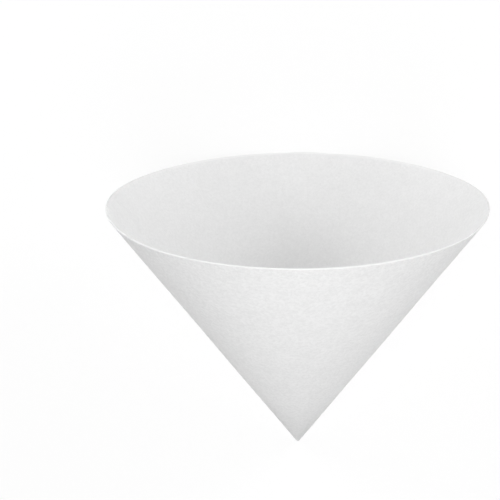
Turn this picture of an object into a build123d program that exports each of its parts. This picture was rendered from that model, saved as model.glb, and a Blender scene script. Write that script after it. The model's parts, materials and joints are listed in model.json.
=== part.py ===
from build123d import *
import os
from math import atan, cos, degrees, hypot, radians, sin, sqrt, tan

# Filter cone: one sheet of filter paper, cut as a sector of a circle, folded once and crimped
# to itself along its two straight edges, opened round and lying on its side on a flat surface.
# It is drawn point down on its own axis, with the seam at +X and the fold at -X, and then laid
# down on the side that faces +Y. Millimetres and degrees.

# The open cone
mouth_diameter = 254.0
depth = 203.2
wall = 0.9
tip_diameter = 2.7

# The side that it lies on: its width and soft shoulders at the mouth, and how far it is pressed in
rest_width = 40.0
shoulder_radius = 30.0
rest_press = 0.02

# The fold opposite the seam, as the turn of the paper to each side of it
fold_turn = 5.0

# The crimped seam, two layers laid over against the wall
seam_width = 6.0
seam_thickness = 1.0
seam_lift = 0.3
seam_start = 8.0
seam_end_slope = 0.4
crimp_pitch = 3.0
crimp_height = 0.35

# The line that the seam leaves inside
groove_depth = 0.4
groove_start = 16.0

# What follows from the sizes above
mouth_radius = mouth_diameter / 2
slant = hypot(mouth_radius, depth)
half_angle = degrees(atan(mouth_radius / depth))
slope_sin = sin(radians(half_angle))
slope_cos = cos(radians(half_angle))
rest_half = rest_width / 2
rest_distance = shoulder_radius + sqrt((mouth_radius - shoulder_radius) ** 2 - rest_half**2)
rest_angle = degrees(atan(rest_distance / depth))
inner_shift = wall / slope_sin
tip_depth = tip_diameter / 2 / tan(radians(half_angle))
cavity_tip_depth = tip_depth + wall - inner_shift

# How far every form is drawn past the rim, as a factor, before the rim is cut
past_the_rim = 1.1

# Directions at the seam: up the wall, and out of it
up_the_wall = (slope_sin, 0, slope_cos)
out_of_wall = (slope_cos, 0, -slope_sin)


def on_circle(angle):
    """A point of the mouth's circle, by its angle from +X."""
    return Vector(mouth_radius * cos(radians(angle)), mouth_radius * sin(radians(angle)))


def section(height):
    """The paper's outside outline at a height over the sheet's point: round, with a flat rest
    side between soft shoulders at +Y and the fold's corner at -X."""
    scale_here = height / depth
    shoulder_angle = degrees(atan(rest_half / (rest_distance - shoulder_radius)))
    fold_corner = (-mouth_radius / cos(radians(fold_turn)), 0)
    fold_back = on_circle(180 - fold_turn)
    fold_front = on_circle(180 + fold_turn)
    shoulder_left = on_circle(90 + shoulder_angle)
    shoulder_right = on_circle(90 - shoulder_angle)
    right_side = on_circle((90 - shoulder_angle) / 2)
    left_side = on_circle((270 + shoulder_angle - fold_turn) / 2)
    rest_left = Vector(-rest_half, rest_distance)
    rest_right = Vector(rest_half, rest_distance)

    def here(point):
        return Vector(point) * scale_here

    with BuildSketch(Plane.XY.offset(height)) as outline:
        with BuildLine():
            Polyline(here(fold_back), here(fold_corner), here(fold_front))
            ThreePointArc(here(fold_front), here(on_circle(270)), here(on_circle(0)))
            ThreePointArc(here(on_circle(0)), here(right_side), here(shoulder_right))
            TangentArc(here(rest_right), here(shoulder_right), tangent=(1, 0))
            Line(here(rest_right), here(rest_left))
            TangentArc(here(rest_left), here(shoulder_left), tangent=(-1, 0))
            ThreePointArc(here(shoulder_left), here(left_side), here(fold_back))
        make_face()
    return outline.sketch


def cone_form(from_height):
    """The solid inside the paper's outline, from a height over the point to past the mouth."""
    return loft([section(from_height), section(depth * past_the_rim)], ruled=True)


def paper_wall():
    """The wall, of one thickness all round, closed at its blunt point."""
    cavity = Pos(0, 0, inner_shift) * cone_form(cavity_tip_depth)
    return cone_form(tip_depth) - cavity


def along_the_seam(profile):
    """A closed outline of (distance up the wall, height off the wall) on the seam's own plane."""
    plane = Plane(origin=(0, 0, 0), x_dir=up_the_wall, z_dir=(0, 1, 0))
    return plane * make_face(Polyline(*profile, close=True))


def crimped_seam():
    """The two crimped layers, bent over at the seam and lying along the wall."""
    far_end = slant * past_the_rim
    teeth = int((far_end - seam_start) / crimp_pitch * 2)
    ridge_line = [
        (seam_start + step * crimp_pitch / 2, seam_lift + crimp_height * (step % 2))
        for step in range(teeth + 1)
    ]
    top_line = [(along, off + seam_thickness) for along, off in reversed(ridge_line)]
    layers = extrude(along_the_seam(ridge_line + top_line), seam_width)

    lying_on_wall = Plane(origin=(0, 0, 0), x_dir=up_the_wall, z_dir=[-c for c in out_of_wall])
    slope_end = seam_start + seam_width / seam_end_slope
    strip = make_face(
        Polyline(
            (seam_start, -wall),
            (far_end, -wall),
            (far_end, seam_width),
            (slope_end, seam_width),
            (seam_start, 0),
            close=True,
        )
    )
    layers &= extrude(lying_on_wall * strip, mouth_radius, both=True)

    bend = [
        (seam_start, -wall / 2),
        (far_end, -wall / 2),
        (far_end, seam_lift + seam_thickness),
        (seam_start, seam_lift + seam_thickness),
    ]
    return layers + extrude(along_the_seam(bend), wall)


def seam_line():
    """The groove inside, where the two edges of the sheet turn outwards together."""
    across = Plane(
        origin=Vector(up_the_wall) * groove_start, x_dir=(0, 1, 0), z_dir=up_the_wall
    )
    groove = Polyline(
        (-groove_depth, wall + groove_depth),
        (groove_depth, wall + groove_depth),
        (0, wall - groove_depth),
        close=True,
    )
    return extrude(across * make_face(groove), slant)


def filter_cone():
    """The whole sheet, cut at the rim by an arc about its point, and laid on its rest side."""
    standing = paper_wall() + crimped_seam() - seam_line()
    standing &= Rot(90, 0, 0) * Sphere(slant)
    lying = Pos(0, 0, -rest_press) * Rot(rest_angle - 90, 0, 0) * standing
    lying = split(lying, bisect_by=Plane.XY, keep=Keep.TOP)
    return Pos(0, -lying.bounding_box().center().Y, 0) * lying


os.makedirs("parts", exist_ok=True)
part = filter_cone()
part.label = "filter_cone"
export_step(part, "parts/filter_cone.step")
box = part.bounding_box()
print("filter_cone", part.is_valid, len(part.solids()), round(part.volume, 1), box.min, box.max)
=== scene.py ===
import json
import math

import bmesh
import bpy
from mathutils import Matrix, Vector, noise


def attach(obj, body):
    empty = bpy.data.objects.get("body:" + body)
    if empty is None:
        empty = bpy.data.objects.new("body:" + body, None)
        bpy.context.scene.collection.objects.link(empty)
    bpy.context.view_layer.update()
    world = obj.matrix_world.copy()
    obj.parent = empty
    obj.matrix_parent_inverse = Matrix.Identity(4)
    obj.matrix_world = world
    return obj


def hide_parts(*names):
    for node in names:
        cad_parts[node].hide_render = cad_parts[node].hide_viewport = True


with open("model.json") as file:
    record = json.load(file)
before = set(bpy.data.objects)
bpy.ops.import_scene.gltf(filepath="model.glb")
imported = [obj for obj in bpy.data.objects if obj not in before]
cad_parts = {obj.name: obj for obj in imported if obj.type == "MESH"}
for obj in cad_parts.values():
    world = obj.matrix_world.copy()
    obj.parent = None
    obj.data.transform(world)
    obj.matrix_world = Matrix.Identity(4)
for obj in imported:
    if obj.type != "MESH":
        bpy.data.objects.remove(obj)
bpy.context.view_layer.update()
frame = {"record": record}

# Place and size of the cone, from the seat that a holder gives it.
# Cone space: sheet's point at the origin, mouth up +Z, seam at +X, fold at -X, rest side at +Y.
seat = next(m for m in frame["record"]["mounts"] if m["name"] == "holder_seat")
mouthRadius = seat["dims"]["r_mm"] / 1000
mouthMiddle = Vector(seat["pos_m"])
depth = seat["dims"]["length_mm"] / 1000
slant = math.hypot(mouthRadius, depth)
slope = math.atan2(mouthRadius, depth)
axis = -Vector(seat["axis"]).normalized()
across = Vector((1, 0, 0))
coneSpace = Matrix((across, axis.cross(across), axis)).transposed().to_4x4()
coneSpace.translation = mouthMiddle - axis * depth
paperSlots = ["filterPaper", "crimpedPaper", "smoothSide"]  # outside, seam and inside
samePlace = 1e-6
print("frame loaded, cone", round(mouthRadius * 2, 4), "wide and", round(depth, 4), "deep")

# metres and radians, with shares and counts as plain numbers
paperWall = dict(
    wall=0.0009,
    columns=384,
    rows=46,
    rimRows=4,
    crowding=0.42,  # brings columns together at the fold and the seam
    inwards=-0.5,  # a face's normal against the way out of the wall
    sharpAngle=math.radians(40),
    tipRadius=0.00135,
    tipRound=0.0005,
    tipSegments=3,
    # painted shade towards the point
    tipShade=0.4,
    tipFade=0.07,
    restWidth=0.040,
    shoulderRadius=0.030,
    foldTurn=math.radians(5),
    foldSoftness=math.radians(0.35),
    foldBead=0.00012,
    foldLine=0.0007,
    foldStart=0.004,
    grooveWidth=0.00045,
    grooveDepth=0.00012,
    grooveStart=0.014,
    rimReach=0.0035,
    rimSwell=0.00008,
    rimRound=0.00034,
    rimSegments=2,
    rimRise=0.00145,
    riseWidth=0.38,  # sine of the angle from the fold or the seam
    risePower=4,
    # painted highlight on the rim's cut and in a band inside it
    cutReach=1.6,  # in radii of the rounded rim
    highlightReach=0.0024,
    highlightSharpness=1.5,
    highlightInside=0.9,
    # painted shade on the rim's cut at the fold and the seam
    rimEndShade=0.3,
    endWidth=0.3,  # the same sine
    endFade=0.6,  # and how much it grows until the rim has its full painted highlight
    waveSize=0.075,
    waveHeight=0.00022,
    cockleSize=0.02,
    cockleHeight=0.00004,
    stillAtRest=0.25,
    restFade=0.4,
    seamFade=0.3,
    pointFade=0.1,
)
tipDepth = paperWall["tipRadius"] / math.tan(slope)


def smooth(value):
    value = min(max(value, 0), 1)
    return value * value * (3 - 2 * value)


def outlineFactor(angle):
    # radius of the mouth's outline at an angle, over that of the round mouth
    half = paperWall["restWidth"] / 2
    arc = paperWall["shoulderRadius"]
    centre = math.sqrt((mouthRadius - arc) ** 2 - half**2)
    fromRest = abs(math.remainder(angle - math.pi / 2, 2 * math.pi))
    fromFold = abs(math.remainder(angle - math.pi, 2 * math.pi))
    if fromRest < math.atan2(half, centre + arc):
        return (centre + arc) / math.cos(fromRest) / mouthRadius
    if fromRest < math.atan2(half, centre):
        along = half * math.sin(fromRest) + centre * math.cos(fromRest)
        return (along + math.sqrt(arc**2 - half**2 - centre**2 + along**2)) / mouthRadius
    if fromFold < paperWall["foldTurn"]:
        softened = math.hypot(fromFold, paperWall["foldSoftness"])
        return 1 / math.cos(max(paperWall["foldTurn"] - softened, 0))
    return 1


def paintLayers(bm):
    # painted highlight on the cut rim and painted shade where pressed, kept on the points
    for name in ("rimHighlight", "pressed"):
        bm.verts.layers.float.new(name)
    return [bm.verts.layers.float[name] for name in ("rimHighlight", "pressed")]


def wallSection(bm):
    # half of the wall's section, from under the point, round the rim and back inside
    wall = paperWall["wall"]
    shift = wall / math.sin(slope)
    inner = math.sqrt(slant**2 - wall**2) - shift * math.cos(slope)
    toRim = 1 - paperWall["rimReach"] / slant
    corners = [
        (0, tipDepth),
        (paperWall["tipRadius"], tipDepth),
        (mouthRadius * toRim, depth * toRim),
        (mouthRadius, depth),
        (inner * math.sin(slope), inner * math.cos(slope) + shift),
        (inner * toRim * math.sin(slope), inner * toRim * math.cos(slope) + shift),
        ((tipDepth + wall - shift) * math.tan(slope), tipDepth + wall),
        (0, tipDepth + wall),
    ]
    verts = [bm.verts.new((x, 0, z)) for x, z in corners]
    edges = [bm.edges.new(pair) for pair in zip(verts, verts[1:])]
    bmesh.ops.subdivide_edges(bm, edges=[edges[1], edges[5]], cuts=paperWall["rows"])
    bmesh.ops.subdivide_edges(bm, edges=[edges[2], edges[4]], cuts=paperWall["rimRows"])


def onTipRing(edge):
    return all(
        abs(math.hypot(v.co.x, v.co.y) - paperWall["tipRadius"]) < samePlace
        and abs(v.co.z - tipDepth) < samePlace
        for v in edge.verts
    )


def onRim(edge):
    # along the rim's outer or inner edge, and not across its cut
    low, high = sorted(v.co.z for v in edge.verts)
    return high - low < samePlace and all(v.co.length > slant - samePlace for v in edge.verts)


def roundEdges(bm, edges, radius, segments):
    bmesh.ops.bevel(
        bm, geom=edges, offset=radius, affect="EDGES", segments=segments, profile=0.5, material=-1
    )


def outOfWall(angle):
    flat = math.cos(slope)
    return Vector((flat * math.cos(angle), flat * math.sin(angle), -math.sin(slope)))


def tipShadeTone(up):
    # painted shade, a little darker towards the point
    return paperWall["tipShade"] * smooth(1 - up / paperWall["tipFade"])


def shapeWall(v, rimHighlightLayer, pressShadeLayer):
    # bends the round wall to its outline, each point kept at its distance from the sheet's point
    radius = math.hypot(v.co.x, v.co.y)
    angle = math.atan2(v.co.y, v.co.x)
    angle -= paperWall["crowding"] * math.sin(2 * angle)
    up = radius / math.tan(slope)
    shift = v.co.z - up
    inside = shift > paperWall["wall"] and v.co.z > tipDepth + paperWall["wall"] / 2
    factor = outlineFactor(angle)
    keep = 1 / math.hypot(factor * math.sin(slope), math.cos(slope))

    # rim a little higher at the fold and the seam, and swollen where it is cut
    atEnds = math.exp(-((math.sin(angle) / paperWall["riseWidth"]) ** 2))
    rise = paperWall["rimRise"] * atEnds * (v.co.length / slant) ** paperWall["risePower"]
    keep += rise / slant
    fromRim = slant - v.co.length
    side = 0.5 - shift * math.sin(slope) / paperWall["wall"]
    swell = 2 * side * paperWall["rimSwell"] * smooth(1 - fromRim / paperWall["rimReach"])

    # painted highlight on the cut and in a band inside, with painted shade on the cut instead at the
    # two ends by the fold and the seam
    cut = smooth(paperWall["cutReach"] - fromRim / paperWall["rimRound"])
    band = smooth(paperWall["highlightSharpness"] * (1 - fromRim / paperWall["highlightReach"]))
    pale = paperWall["highlightInside"] * band if side < 0 else 0
    awayFromEnds = smooth((abs(math.sin(angle)) - paperWall["endWidth"]) / paperWall["endFade"])
    v[rimHighlightLayer] = max(pale, cut) * awayFromEnds
    v[pressShadeLayer] = paperWall["rimEndShade"] * cut * (1 - awayFromEnds)

    # slow waves and cockle of a sheet that was folded flat, none where it lies and at the seam
    fromRest = abs(math.remainder(angle - math.pi / 2, 2 * math.pi))
    fromSeam = abs(math.remainder(angle, 2 * math.pi))
    freedom = smooth((fromRest - paperWall["stillAtRest"]) / paperWall["restFade"])
    freedom *= smooth(fromSeam / paperWall["seamFade"]) * smooth(up / paperWall["pointFade"])
    around = Vector((math.cos(angle), math.sin(angle), 0))
    middle = around * radius + Vector((0, 0, up))
    wave = noise.noise(middle / paperWall["waveSize"]) * paperWall["waveHeight"]
    wave += noise.noise(middle / paperWall["cockleSize"]) * paperWall["cockleHeight"]

    # line that the seam leaves inside, and the fold's crease outside
    line = 0
    if inside and up > paperWall["grooveStart"]:
        line = max(0, 1 - radius * fromSeam / paperWall["grooveWidth"]) * paperWall["grooveDepth"]
    if not inside:
        crease = smooth(1 - radius * (math.pi - fromSeam) / paperWall["foldLine"])
        line = crease * paperWall["foldBead"]
        # painted shade along the fold's crease, partly the crushed fibres' own tone, together with the
        # painted shade at the point and the rim's ends
        crease *= smooth(up / paperWall["foldStart"])
        v[pressShadeLayer] = max(v[pressShadeLayer], tipShadeTone(up), crease)

    v.co = around * radius * factor * keep + Vector((0, 0, up * keep + shift))
    v.co += outOfWall(angle) * (wave * freedom + line + swell)


def makeWall(bm):
    wallSection(bm)
    bmesh.ops.spin(
        bm,
        geom=bm.verts[:] + bm.edges[:],
        axis=(0, 0, 1),
        angle=2 * math.pi,
        steps=paperWall["columns"],
        use_merge=True,
    )
    bmesh.ops.remove_doubles(bm, verts=bm.verts, dist=samePlace)
    bmesh.ops.recalc_face_normals(bm, faces=bm.faces)
    tipRing = [e for e in bm.edges if onTipRing(e)]
    roundEdges(bm, tipRing, paperWall["tipRound"], paperWall["tipSegments"])

    # faces that look inwards are the sheet's smooth side
    for face in bm.faces:
        middle = face.calc_center_median()
        if face.normal.dot(outOfWall(math.atan2(middle.y, middle.x))) < paperWall["inwards"]:
            face.material_index = paperSlots.index("smoothSide")
    rims = [e for e in bm.edges if onRim(e)]
    roundEdges(bm, rims, paperWall["rimRound"], paperWall["rimSegments"])
    rimHighlightLayer, pressShadeLayer = paintLayers(bm)
    for v in bm.verts:
        shapeWall(v, rimHighlightLayer, pressShadeLayer)


# metres, and shares from 0 to 1
crimpedSeam = dict(
    width=0.006,
    thickness=0.001,
    lift=0.0003,
    bend=0.0009,
    ramp=0.0032,
    rampSteps=8,
    topSteps=(0, 0.12, 0.3, 0.5, 0.7, 0.82, 0.9, 1),
    underSteps=(0.82, 0.7, 0.5, 0.3),
    notch=0.00016,
    sink=0.0003,
    start=0.008,
    endSlope=0.4,
    endWidth=0.15,
    endHeight=0.4,
    pitch=0.003,
    stepsPerRidge=6,
    ridge=0.00035,
    ridgeSharpness=0.08,
    ridgeStart=0.0004,
    ridgeFade=0.0008,
    plainEdge=0.0011,
    plainFade=0.0006,
    plainShare=0.6,
    hug=0.7,  # how closely the free side follows the round of the wall
)


def seamSection():
    # (across, off the wall) up the ramp, along the top, round the split free edge and underneath
    width = crimpedSeam["width"]
    lift = crimpedSeam["lift"]
    top = lift + crimpedSeam["thickness"]
    middle = lift + crimpedSeam["thickness"] / 2
    notch = crimpedSeam["notch"]
    sink = crimpedSeam["sink"]
    bend = crimpedSeam["bend"]
    ramp = [i / crimpedSeam["rampSteps"] for i in range(crimpedSeam["rampSteps"])]
    rise = [((t - 1) * crimpedSeam["ramp"], smooth(t) * (top + sink) - sink) for t in ramp]
    flat = [(t * (width - notch), top) for t in crimpedSeam["topSteps"]]
    edge = [(width, top - notch), (width, middle + notch), (width - notch * 2, middle)]
    edge += [(width, middle - notch), (width, lift + notch), (width - notch, lift)]
    under = [(t * width, lift) for t in crimpedSeam["underSteps"]]
    under += [(bend, lift), (bend / 2, -sink * 2)]
    return rise + flat + edge + under


def shapeSeam(v, upWall, offWall, pressShadeLayer):
    along = v.co.dot(upWall)
    sideways = v.co.y
    off = v.co.dot(offWall)
    width = crimpedSeam["width"]

    # narrow and low where it starts, near the point
    fromStart = along - crimpedSeam["start"]
    opened = min(1, fromStart * crimpedSeam["endSlope"] / width)
    sideways *= crimpedSeam["endWidth"] + (1 - crimpedSeam["endWidth"]) * opened
    if off > 0:
        off *= crimpedSeam["endHeight"] + (1 - crimpedSeam["endHeight"]) * smooth(opened)

    # ridges, flatter towards the free edge and the bend
    band = smooth((sideways - crimpedSeam["ridgeStart"]) / crimpedSeam["ridgeFade"]) * smooth(opened)
    plain = smooth((sideways - width + crimpedSeam["plainEdge"]) / crimpedSeam["plainFade"])
    band *= 1 - crimpedSeam["plainShare"] * plain
    turn = 2 * math.pi * fromStart / crimpedSeam["pitch"]
    ridge = 0.5 + 0.5 * math.sin(turn) + crimpedSeam["ridgeSharpness"] * math.sin(3 * turn)
    off += crimpedSeam["ridge"] * band * ridge
    # painted shade in the grooves between the ridges, partly the pressed paper's own tone, and painted
    # shade at the point
    v[pressShadeLayer] = max(band * (1 - ridge), tipShadeTone(along * math.cos(slope)))

    # the strip follows the round of the wall under it
    off -= sideways**2 / (2 * along * math.tan(slope)) * (1 if sideways < 0 else crimpedSeam["hug"])
    v.co = upWall * along + offWall * off + Vector((0, sideways, 0))


def makeSeam(bm):
    upWall = Vector((math.sin(slope), 0, math.cos(slope)))
    offWall = outOfWall(0)
    length = slant - crimpedSeam["start"]
    steps = round(length / crimpedSeam["pitch"] * crimpedSeam["stepsPerRidge"])
    first = upWall * crimpedSeam["start"]
    verts = [bm.verts.new(first + offWall * off + Vector((0, y, 0))) for y, off in seamSection()]
    edges = [bm.edges.new(pair) for pair in zip(verts, verts[1:] + verts[:1])]
    bmesh.ops.spin(
        bm,
        geom=verts + edges,
        axis=(0, 0, 1),
        dvec=upWall * (length / steps),
        angle=0,
        steps=steps,
        use_merge=False,
    )
    bmesh.ops.holes_fill(bm, edges=[e for e in bm.edges if e.is_boundary], sides=0)
    bmesh.ops.recalc_face_normals(bm, faces=bm.faces)
    for face in bm.faces:
        face.material_index = paperSlots.index("crimpedPaper")
    pressShadeLayer = paintLayers(bm)[1]
    for v in bm.verts:
        shapeSeam(v, upWall, offWall, pressShadeLayer)


def addNode(tree, kind, place, **settings):
    node = tree.nodes.new(kind)
    node.location = place
    for name, value in settings.items():
        setattr(node, name, value)
    return node


def setInputs(node, **values):
    for name, value in values.items():
        node.inputs[name.replace("_", " ")].default_value = value
    return node


def feed(tree, socket, value):
    # a link from another node's output, or a fixed value
    if isinstance(value, bpy.types.NodeSocket):
        tree.links.new(value, socket)
    else:
        socket.default_value = value


def mathNode(tree, operation, place, *values):
    node = addNode(tree, "ShaderNodeMath", place, operation=operation)
    for socket, value in zip(node.inputs, values):
        feed(tree, socket, value)
    return node.outputs["Value"]


def noiseNode(tree, place, vector, **values):
    node = setInputs(addNode(tree, "ShaderNodeTexNoise", place), **values)
    tree.links.new(vector, node.inputs["Vector"])
    return node.outputs["Fac"]


def rangeNode(tree, place, value, kind="LINEAR", **values):
    node = setInputs(addNode(tree, "ShaderNodeMapRange", place, interpolation_type=kind), **values)
    tree.links.new(value, node.inputs["Value"])
    return node.outputs["Result"]


def grey(tone):
    return (tone, tone, tone, 1)


def mixNode(tree, place, factor, first, second):
    # a Mix node's colours are its inputs 6 and 7 and its output 2
    node = addNode(tree, "ShaderNodeMix", place, data_type="RGBA")
    feed(tree, node.inputs["Factor"], factor)
    feed(tree, node.inputs[6], first)
    feed(tree, node.inputs[7], second)
    return node.outputs[2]


fibreFelt = dict(
    layers=((0.3, 190.0), (1.4, 240.0), (2.5, 310.0)),  # turn and scale of each
    turnShares=(1, 0.7, 1.3),
    layerSteps=(0.31, 0.17, 0.23),
    bending=0.8,
    lineWidth=0.022,
    gapScale=0.6,
    gapRange=(0.46, 0.56),
    cloudScale=100.0,
    cloudShare=0.25,
    grainScale=480.0,
    grainDetail=3.0,
    grainRoughness=0.75,
    fibreShare=0.2,
    fibreHeight=0.6,
)


def fibreLayer(group, position, number, turn, scale):
    # thin lines along the middle level of one noise, broken up by another
    y = 500 - number * 420
    place = addNode(group, "ShaderNodeMapping", (-1150, y))
    place.inputs["Rotation"].default_value = [turn * share for share in fibreFelt["turnShares"]]
    place.inputs["Location"].default_value = [step * number for step in fibreFelt["layerSteps"]]
    group.links.new(position, place.inputs["Vector"])
    turned = place.outputs["Vector"]
    bend = noiseNode(group, (-900, y), turned, Scale=scale, Detail=1.0, Distortion=fibreFelt["bending"])
    away = mathNode(group, "ABSOLUTE", (-520, y), mathNode(group, "SUBTRACT", (-680, y), bend, 0.5))
    lineRange = dict(From_Min=0.0, From_Max=fibreFelt["lineWidth"], To_Min=1.0, To_Max=0.0)
    line = rangeNode(group, (-350, y), away, "SMOOTHSTEP", **lineRange)
    gap = noiseNode(group, (-900, y - 200), turned, Scale=scale * fibreFelt["gapScale"], Detail=0.0)
    gapFrom, gapTo = fibreFelt["gapRange"]
    broken = rangeNode(group, (-350, y - 200), gap, From_Min=gapFrom, From_Max=gapTo)
    return mathNode(group, "MULTIPLY", (-150, y), line, broken)


def fibreGroup():
    # tone and height of a felt of fine fibres, from a position in metres
    group = bpy.data.node_groups.new("fibreFelt", "ShaderNodeTree")
    group.interface.new_socket("Vector", in_out="INPUT", socket_type="NodeSocketVector")
    group.interface.new_socket("Grain", in_out="INPUT", socket_type="NodeSocketFloat")
    group.interface.new_socket("Tone", in_out="OUTPUT", socket_type="NodeSocketFloat")
    group.interface.new_socket("Height", in_out="OUTPUT", socket_type="NodeSocketFloat")
    source = addNode(group, "NodeGroupInput", (-1400, 0))
    result = addNode(group, "NodeGroupOutput", (800, 0))
    position = source.outputs["Vector"]

    felt = 0.0
    for number, (turn, scale) in enumerate(fibreFelt["layers"]):
        fibre = fibreLayer(group, position, number, turn, scale)
        felt = mathNode(group, "MAXIMUM", (50, 500 - number * 420), felt, fibre)

    # uneven cloud of the sheet and a fine grain
    cloud = noiseNode(group, (-350, 900), position, Scale=fibreFelt["cloudScale"], Detail=1.0)
    grain = noiseNode(
        group,
        (-350, 720),
        position,
        Scale=fibreFelt["grainScale"],
        Detail=fibreFelt["grainDetail"],
        Roughness=fibreFelt["grainRoughness"],
    )
    centred = mathNode(group, "SUBTRACT", (-150, 700), grain, 0.5)
    fine = mathNode(group, "MULTIPLY", (50, 700), centred, source.outputs["Grain"])
    tone = mathNode(group, "MULTIPLY_ADD", (250, 800), cloud, fibreFelt["cloudShare"], fine)
    tone = mathNode(group, "MULTIPLY_ADD", (500, 500), felt, fibreFelt["fibreShare"], tone)
    height = mathNode(group, "MULTIPLY_ADD", (500, 200), felt, fibreFelt["fibreHeight"], grain)
    group.links.new(tone, result.inputs["Tone"])
    group.links.new(height, result.inputs["Height"])
    return group


# tones of the painted highlight on the rim's cut and of the painted shade where the paper is pressed
paperTones = dict(cut=0.87, pressed=0.6, feltRange=(-0.1, 0.4), reliefDepth=0.00012, specular=0.25)
papers = dict(
    filterPaper=dict(dark=0.76, light=0.84, grain=1.7, bump=0.5, roughness=0.92),
    crimpedPaper=dict(dark=0.76, light=0.84, grain=1.1, bump=0.2, roughness=0.8),
    smoothSide=dict(dark=0.769, light=0.831, grain=1.2, bump=0.25, roughness=0.9),
)


def paperMaterial(name, felt, dark, light, grain, bump, roughness):
    material = bpy.data.materials.new(name)
    material.use_nodes = True
    tree = material.node_tree
    shader = tree.nodes["Principled BSDF"]
    setInputs(shader, Roughness=roughness, Specular_IOR_Level=paperTones["specular"])
    place = addNode(tree, "ShaderNodeTexCoord", (-1000, 0))
    fibres = setInputs(addNode(tree, "ShaderNodeGroup", (-800, 0), node_tree=felt), Grain=grain)
    tree.links.new(place.outputs["Object"], fibres.inputs["Vector"])

    # felt, then the painted highlight on the rim's cut, then painted shade at the point, the rim's
    # ends, the fold's crease and the crimp's grooves, the last two partly the pressed paper's own tone
    low, high = paperTones["feltRange"]
    spread = rangeNode(tree, (-600, 150), fibres.outputs["Tone"], From_Min=low, From_Max=high)
    tint = mixNode(tree, (-400, 150), spread, grey(dark), grey(light))
    cut = addNode(tree, "ShaderNodeAttribute", (-400, 400), attribute_name="rimHighlight")
    tint = mixNode(tree, (-200, 200), cut.outputs["Fac"], tint, grey(paperTones["cut"]))
    press = addNode(tree, "ShaderNodeAttribute", (-200, 450), attribute_name="pressed")
    tint = mixNode(tree, (0, 200), press.outputs["Fac"], tint, grey(paperTones["pressed"]))
    tree.links.new(tint, shader.inputs["Base Color"])

    relief = addNode(tree, "ShaderNodeBump", (-300, -200))
    setInputs(relief, Strength=bump, Distance=paperTones["reliefDepth"])
    tree.links.new(fibres.outputs["Height"], relief.inputs["Height"])
    tree.links.new(relief.outputs["Normal"], shader.inputs["Normal"])
    return material


def addObject(name, data):
    added = bpy.data.objects.new(name, data)
    bpy.context.scene.collection.objects.link(added)
    return added


def makeCone(materials):
    mesh = bpy.data.meshes.new("filterCone")
    bm = bmesh.new()
    makeSeam(bm)
    bm.to_mesh(mesh)
    bm.clear()
    makeWall(bm)
    bm.from_mesh(mesh)
    bmesh.ops.transform(bm, matrix=coneSpace, verts=bm.verts)
    for v in bm.verts:
        v.co.z = max(v.co.z, 0)  # flat where it lies
    for face in bm.faces:
        face.smooth = True
    bm.to_mesh(mesh)
    bm.free()
    mesh.set_sharp_from_angle(angle=paperWall["sharpAngle"])
    for material in materials:
        mesh.materials.append(material)
    return addObject("filterCone", mesh)


felt = fibreGroup()
materials = [paperMaterial(name, felt, **papers[name]) for name in paperSlots]
print("materials made")

filterCone = makeCone(materials)
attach(filterCone, "root")
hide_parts("filter_cone")
print("cone made,", len(filterCone.data.polygons), "faces")


def showingRays(tree):
    # 1 for rays that show a backdrop as it is: to the camera, in gloss and through glass
    rays = addNode(tree, "ShaderNodeLightPath", (-900, 250)).outputs
    direct = mathNode(tree, "MAXIMUM", (-700, 250), rays["Is Camera Ray"], rays["Is Glossy Ray"])
    return mathNode(tree, "MAXIMUM", (-500, 250), direct, rays["Is Transmission Ray"])


def blendShaders(tree, factor, first, second, output):
    blend = addNode(tree, "ShaderNodeMixShader", (-100, 100))
    tree.links.new(factor, blend.inputs["Fac"])
    tree.links.new(first, blend.inputs[1])
    tree.links.new(second, blend.inputs[2])
    tree.links.new(blend.outputs["Shader"], tree.nodes[output].inputs["Surface"])


paleFloor = dict(size=4, below=0.0002, tone=0.94, whiteNear=0.8, fadeFrom=0.15, fadeTo=0.5)


def floorMaterial():
    # part diffuse, so that it holds the shadow, and part plain white where it is seen
    material = bpy.data.materials.new("paleFloor")
    material.use_nodes = True
    tree = material.node_tree
    tree.nodes.remove(tree.nodes["Principled BSDF"])
    pale = setInputs(addNode(tree, "ShaderNodeBsdfDiffuse", (-400, 100)), Color=grey(paleFloor["tone"]))
    white = addNode(tree, "ShaderNodeEmission", (-400, -50))
    place = addNode(tree, "ShaderNodeTexCoord", (-1100, 500))
    away = addNode(tree, "ShaderNodeVectorMath", (-900, 500), operation="LENGTH")
    tree.links.new(place.outputs["Object"], away.inputs[0])
    fade = rangeNode(
        tree,
        (-700, 500),
        away.outputs["Value"],
        "SMOOTHSTEP",
        From_Min=paleFloor["fadeFrom"],
        From_Max=paleFloor["fadeTo"],
        To_Min=paleFloor["whiteNear"],
        To_Max=1.0,
    )
    share = mathNode(tree, "MULTIPLY", (-300, 300), showingRays(tree), fade)
    blendShaders(tree, share, pale.outputs["BSDF"], white.outputs["Emission"], "Material Output")
    return material


def makeFloor():
    mesh = bpy.data.meshes.new("floor")
    bm = bmesh.new()
    below = Matrix.Translation((0, 0, -paleFloor["below"]))
    bmesh.ops.create_grid(bm, x_segments=1, y_segments=1, size=paleFloor["size"], matrix=below)
    bm.to_mesh(mesh)
    bm.free()
    mesh.materials.append(floorMaterial())
    return addObject("floor", mesh)


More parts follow.
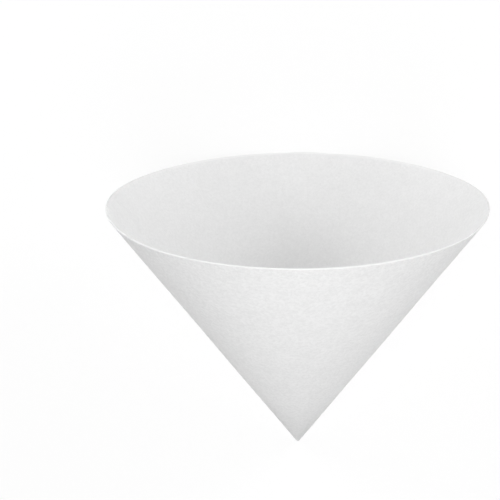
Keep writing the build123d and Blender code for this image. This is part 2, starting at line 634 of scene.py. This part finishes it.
def makeWorld(dome):
    # weak dome for the light, plain white where it is seen
    world = bpy.data.worlds.new("studio")
    world.use_nodes = True
    tree = world.node_tree
    light = setInputs(tree.nodes["Background"], Color=grey(1), Strength=dome)
    seen = setInputs(addNode(tree, "ShaderNodeBackground", (-400, -200)), Color=grey(1), Strength=1.0)
    rays = showingRays(tree)
    blendShaders(tree, rays, light.outputs["Background"], seen.outputs["Background"], "World Output")
    return world


# metres and watts
studioPanels = dict(
    keyPanel=dict(place=(0.05, -0.34, 0.43), target=(0, -0.03, 0.2), size=(0.3, 0.2), power=0.86),
    topPanel=dict(place=(-0.05, -0.346, 1.2), target=(0, 0, 0.1), size=(0.9, 0.7), power=8.0),
    mouthPanel=dict(place=mouthMiddle + axis * 0.8, target=mouthMiddle, size=(1.0, 1.0), power=2.8),
    leftPanel=dict(place=(-0.75, 0.55, 0.31), target=mouthMiddle, size=(0.5, 0.4), power=3.9),
    rightPanel=dict(place=(0.75, 0.55, 0.31), target=mouthMiddle, size=(0.5, 0.4), power=3.8),
    leftFill=dict(place=(-0.7, -0.1, 0.35), target=(-0.1, 0.03, 0.1), size=(0.4, 0.4), power=0.3),
    rightFill=dict(place=(0.45, 0, 0.2), target=(0.11, 0.04, 0.1), size=(0.2, 0.2), power=0.17),
)


def addPanel(name, place, target, size, power):
    light = bpy.data.lights.new(name, "AREA")
    light.shape = "RECTANGLE"
    light.size, light.size_y = size
    light.energy = power
    panel = addObject(name, light)
    panel.location = place
    panel.rotation_euler = (Vector(target) - Vector(place)).to_track_quat("-Z", "Y").to_euler()
    panel.visible_camera = False


floor = makeFloor()
bpy.context.scene.world = makeWorld(dome=0.02)
for name, panel in studioPanels.items():
    addPanel(name, **panel)
print("floor and lights made")

# fitted to the photograph's outline of the mouth and the sides
photoCamera = dict(
    lens=49.84,
    sensor=36,
    shift=-0.09575,
    near=0.01,
    place=(0, -0.06607, 0.56727),
    tilt=0.17524,
)

camera = addObject("camera", bpy.data.cameras.new("camera"))
camera.data.sensor_width = photoCamera["sensor"]
camera.data.lens = photoCamera["lens"]
camera.data.shift_x = photoCamera["shift"]
camera.data.clip_start = photoCamera["near"]
camera.location = photoCamera["place"]
camera.rotation_euler = (photoCamera["tilt"], 0, 0)
bpy.context.scene.camera = camera
bpy.context.scene.view_settings.view_transform = "Standard"

print("camera set")
